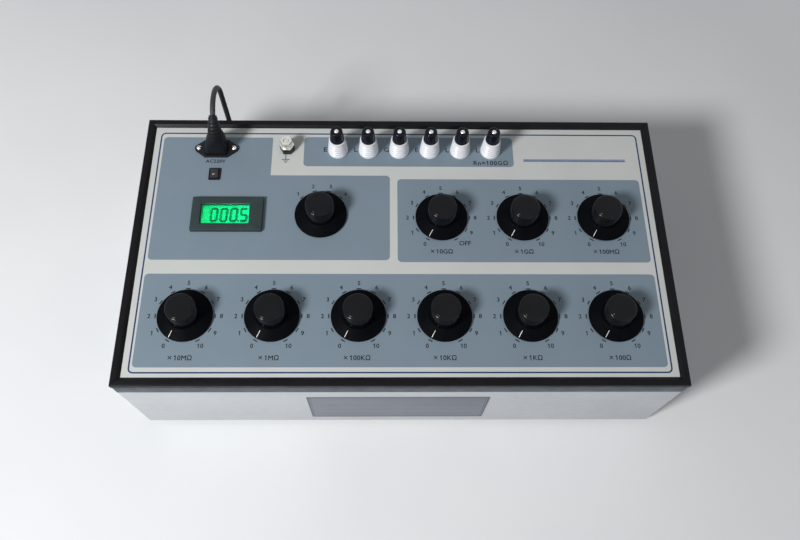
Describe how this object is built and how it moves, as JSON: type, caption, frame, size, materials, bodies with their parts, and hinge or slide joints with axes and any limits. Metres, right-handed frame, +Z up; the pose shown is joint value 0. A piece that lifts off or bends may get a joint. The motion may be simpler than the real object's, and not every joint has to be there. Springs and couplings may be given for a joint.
{
  "type": "insulation tester calibrator",
  "caption": "Bench decade resistance box for checking insulation testers: long white case, sunken panel with skirted dials, panel meter, binding posts, mains inlet and lead.",
  "frame": {"origin": "on the table under the middle of the case, at the feet's undersides", "axes": "+X along the case's length to the right, +Y to the back, +Z up"},
  "size_m": [0.588, 0.4187, 0.2128],
  "materials": {
    "case_paint": "white powder coat, fine texture",
    "base_paint": "white powder coat",
    "foot_rubber": "matt black rubber",
    "frame_black": "satin black moulding",
    "panel_paint": "matt light grey with printed fields",
    "plate_metal": "brushed silver plate, left bare",
    "bezel_plastic": "dark grey moulded plastic",
    "window_clear": "clear plastic window",
    "display_plastic": "lit green display on a black module",
    "inlet_plastic": "black moulded plastic",
    "rocker_plastic": "glossy black plastic",
    "insulator_white": "glossy white insulator",
    "cap_plastic": "glossy black screw cap",
    "bright_metal": "bright nickel plate",
    "knob_plastic": "glossy black moulded knob, white pointer",
    "shaft_brass": "turned brass",
    "wafer_laminate": "brown laminate and plated metal",
    "board_laminate": "green circuit board",
    "cord_plastic": "black moulded plastic",
    "cord_rubber": "black flexible sheath",
    "tie_plastic": "black tie band"
  },
  "bodies": {
    "housing": {"case_walls": "case_paint", "base_plate": "base_paint", "rubber_feet": "foot_rubber", "long_frame_rails": "frame_black", "short_frame_rails": "frame_black", "panel_plate": "panel_paint", "name_plate": "plate_metal", "meter_bezel": "bezel_plastic", "meter_window": "window_clear", "meter_module": "display_plastic", "mains_inlet": "inlet_plastic", "inlet_screws": "bright_metal", "switch_frame": "inlet_plastic", "terminal_insulators": "insulator_white", "terminal_studs": "bright_metal", "earth_post": "bright_metal", "switch_bodies": "wafer_laminate", "bushing_nuts": "bright_metal", "resistor_boards": "board_laminate", "power_board": "board_laminate", "line_connector": "cord_plastic", "mains_cord": "cord_rubber", "cord_coil": "cord_rubber", "cord_tie": "tie_plastic", "mains_plug": "cord_plastic"},
    "dial_1": {"dial_knob_1": "knob_plastic", "dial_shaft_1": "shaft_brass"},
    "dial_2": {"dial_knob_2": "knob_plastic", "dial_shaft_2": "shaft_brass"},
    "dial_3": {"dial_knob_3": "knob_plastic", "dial_shaft_3": "shaft_brass"},
    "dial_4": {"dial_knob_4": "knob_plastic", "dial_shaft_4": "shaft_brass"},
    "dial_5": {"dial_knob_5": "knob_plastic", "dial_shaft_5": "shaft_brass"},
    "dial_6": {"dial_knob_6": "knob_plastic", "dial_shaft_6": "shaft_brass"},
    "dial_7": {"dial_knob_7": "knob_plastic", "dial_shaft_7": "shaft_brass"},
    "dial_8": {"dial_knob_8": "knob_plastic", "dial_shaft_8": "shaft_brass"},
    "dial_9": {"dial_knob_9": "knob_plastic", "dial_shaft_9": "shaft_brass"},
    "selector": {"selector_knob": "knob_plastic", "selector_shaft": "shaft_brass"},
    "rocker": {"rocker": "rocker_plastic"},
    "washer_1": {"terminal_washer_1": "bright_metal"},
    "cap_1": {"terminal_cap_1": "cap_plastic"},
    "washer_2": {"terminal_washer_2": "bright_metal"},
    "cap_2": {"terminal_cap_2": "cap_plastic"},
    "washer_3": {"terminal_washer_3": "bright_metal"},
    "cap_3": {"terminal_cap_3": "cap_plastic"},
    "washer_4": {"terminal_washer_4": "bright_metal"},
    "cap_4": {"terminal_cap_4": "cap_plastic"},
    "washer_5": {"terminal_washer_5": "bright_metal"},
    "cap_5": {"terminal_cap_5": "cap_plastic"},
    "washer_6": {"terminal_washer_6": "bright_metal"},
    "cap_6": {"terminal_cap_6": "cap_plastic"},
    "earth_washer": {"earth_washer": "bright_metal"},
    "earth_nut": {"earth_nut": "bright_metal"}
  },
  "joints": [
    {"name": "dial_1_turn", "type": "hinge", "parent": "housing", "child": "dial_1", "pos_m": [0.04525, 0.033, 0.153], "axis": [0, 0, -1], "range_deg": [0, 300]},
    {"name": "dial_2_turn", "type": "hinge", "parent": "housing", "child": "dial_2", "pos_m": [0.13575, 0.033, 0.153], "axis": [0, 0, -1], "range_deg": [0, 300]},
    {"name": "dial_3_turn", "type": "hinge", "parent": "housing", "child": "dial_3", "pos_m": [0.22625, 0.033, 0.153], "axis": [0, 0, -1], "range_deg": [0, 300]},
    {"name": "dial_4_turn", "type": "hinge", "parent": "housing", "child": "dial_4", "pos_m": [-0.22625, -0.0845, 0.153], "axis": [0, 0, -1], "range_deg": [0, 300]},
    {"name": "dial_5_turn", "type": "hinge", "parent": "housing", "child": "dial_5", "pos_m": [-0.13575, -0.0845, 0.153], "axis": [0, 0, -1], "range_deg": [0, 300]},
    {"name": "dial_6_turn", "type": "hinge", "parent": "housing", "child": "dial_6", "pos_m": [-0.04525, -0.0845, 0.153], "axis": [0, 0, -1], "range_deg": [0, 300]},
    {"name": "dial_7_turn", "type": "hinge", "parent": "housing", "child": "dial_7", "pos_m": [0.04525, -0.0845, 0.153], "axis": [0, 0, -1], "range_deg": [0, 300]},
    {"name": "dial_8_turn", "type": "hinge", "parent": "housing", "child": "dial_8", "pos_m": [0.13575, -0.0845, 0.153], "axis": [0, 0, -1], "range_deg": [0, 300]},
    {"name": "dial_9_turn", "type": "hinge", "parent": "housing", "child": "dial_9", "pos_m": [0.22625, -0.0845, 0.153], "axis": [0, 0, -1], "range_deg": [0, 300]},
    {"name": "selector_turn", "type": "hinge", "parent": "housing", "child": "selector", "pos_m": [-0.089, 0.036, 0.153], "axis": [0, 0, -1], "range_deg": [-30, 60]},
    {"name": "rocker_tilt", "type": "hinge", "parent": "housing", "child": "rocker", "pos_m": [-0.2115, 0.088, 0.1536], "axis": [-1, 0, 0], "range_deg": [0, 18]},
    {"name": "terminal_1_lift", "type": "slide", "parent": "housing", "child": "washer_1", "axis": [0, 0, 1], "range_m": [0, 0.0032]},
    {"name": "terminal_1_turn", "type": "hinge", "parent": "washer_1", "child": "cap_1", "pos_m": [-0.072, 0.121, 0.176], "axis": [0, 0, 1], "range_deg": [0, 1470]},
    {"name": "terminal_2_lift", "type": "slide", "parent": "housing", "child": "washer_2", "axis": [0, 0, 1], "range_m": [0, 0.0032]},
    {"name": "terminal_2_turn", "type": "hinge", "parent": "washer_2", "child": "cap_2", "pos_m": [-0.0367, 0.121, 0.176], "axis": [0, 0, 1], "range_deg": [0, 1470]},
    {"name": "terminal_3_lift", "type": "slide", "parent": "housing", "child": "washer_3", "axis": [0, 0, 1], "range_m": [0, 0.0032]},
    {"name": "terminal_3_turn", "type": "hinge", "parent": "washer_3", "child": "cap_3", "pos_m": [-0.0014, 0.121, 0.176], "axis": [0, 0, 1], "range_deg": [0, 1470]},
    {"name": "terminal_4_lift", "type": "slide", "parent": "housing", "child": "washer_4", "axis": [0, 0, 1], "range_m": [0, 0.0032]},
    {"name": "terminal_4_turn", "type": "hinge", "parent": "washer_4", "child": "cap_4", "pos_m": [0.0339, 0.121, 0.176], "axis": [0, 0, 1], "range_deg": [0, 1470]},
    {"name": "terminal_5_lift", "type": "slide", "parent": "housing", "child": "washer_5", "axis": [0, 0, 1], "range_m": [0, 0.0032]},
    {"name": "terminal_5_turn", "type": "hinge", "parent": "washer_5", "child": "cap_5", "pos_m": [0.0692, 0.121, 0.176], "axis": [0, 0, 1], "range_deg": [0, 1470]},
    {"name": "terminal_6_lift", "type": "slide", "parent": "housing", "child": "washer_6", "axis": [0, 0, 1], "range_m": [0, 0.0032]},
    {"name": "terminal_6_turn", "type": "hinge", "parent": "washer_6", "child": "cap_6", "pos_m": [0.1045, 0.121, 0.176], "axis": [0, 0, 1], "range_deg": [0, 1470]},
    {"name": "earth_lift", "type": "slide", "parent": "housing", "child": "earth_washer", "axis": [0, 0, 1], "range_m": [0, 0.003]},
    {"name": "earth_turn", "type": "hinge", "parent": "earth_washer", "child": "earth_nut", "pos_m": [-0.1305, 0.1225, 0.1625], "axis": [0, 0, 1], "range_deg": [0, 1105]}
  ],
  "couplings": [
    {"joint": "terminal_1_turn", "follows": "terminal_1_lift", "rad_per_m": 7854},
    {"joint": "terminal_2_turn", "follows": "terminal_2_lift", "rad_per_m": 7854},
    {"joint": "terminal_3_turn", "follows": "terminal_3_lift", "rad_per_m": 7854},
    {"joint": "terminal_4_turn", "follows": "terminal_4_lift", "rad_per_m": 7854},
    {"joint": "terminal_5_turn", "follows": "terminal_5_lift", "rad_per_m": 7854},
    {"joint": "terminal_6_turn", "follows": "terminal_6_lift", "rad_per_m": 7854},
    {"joint": "earth_turn", "follows": "earth_lift", "rad_per_m": 6283.2}
  ]
}
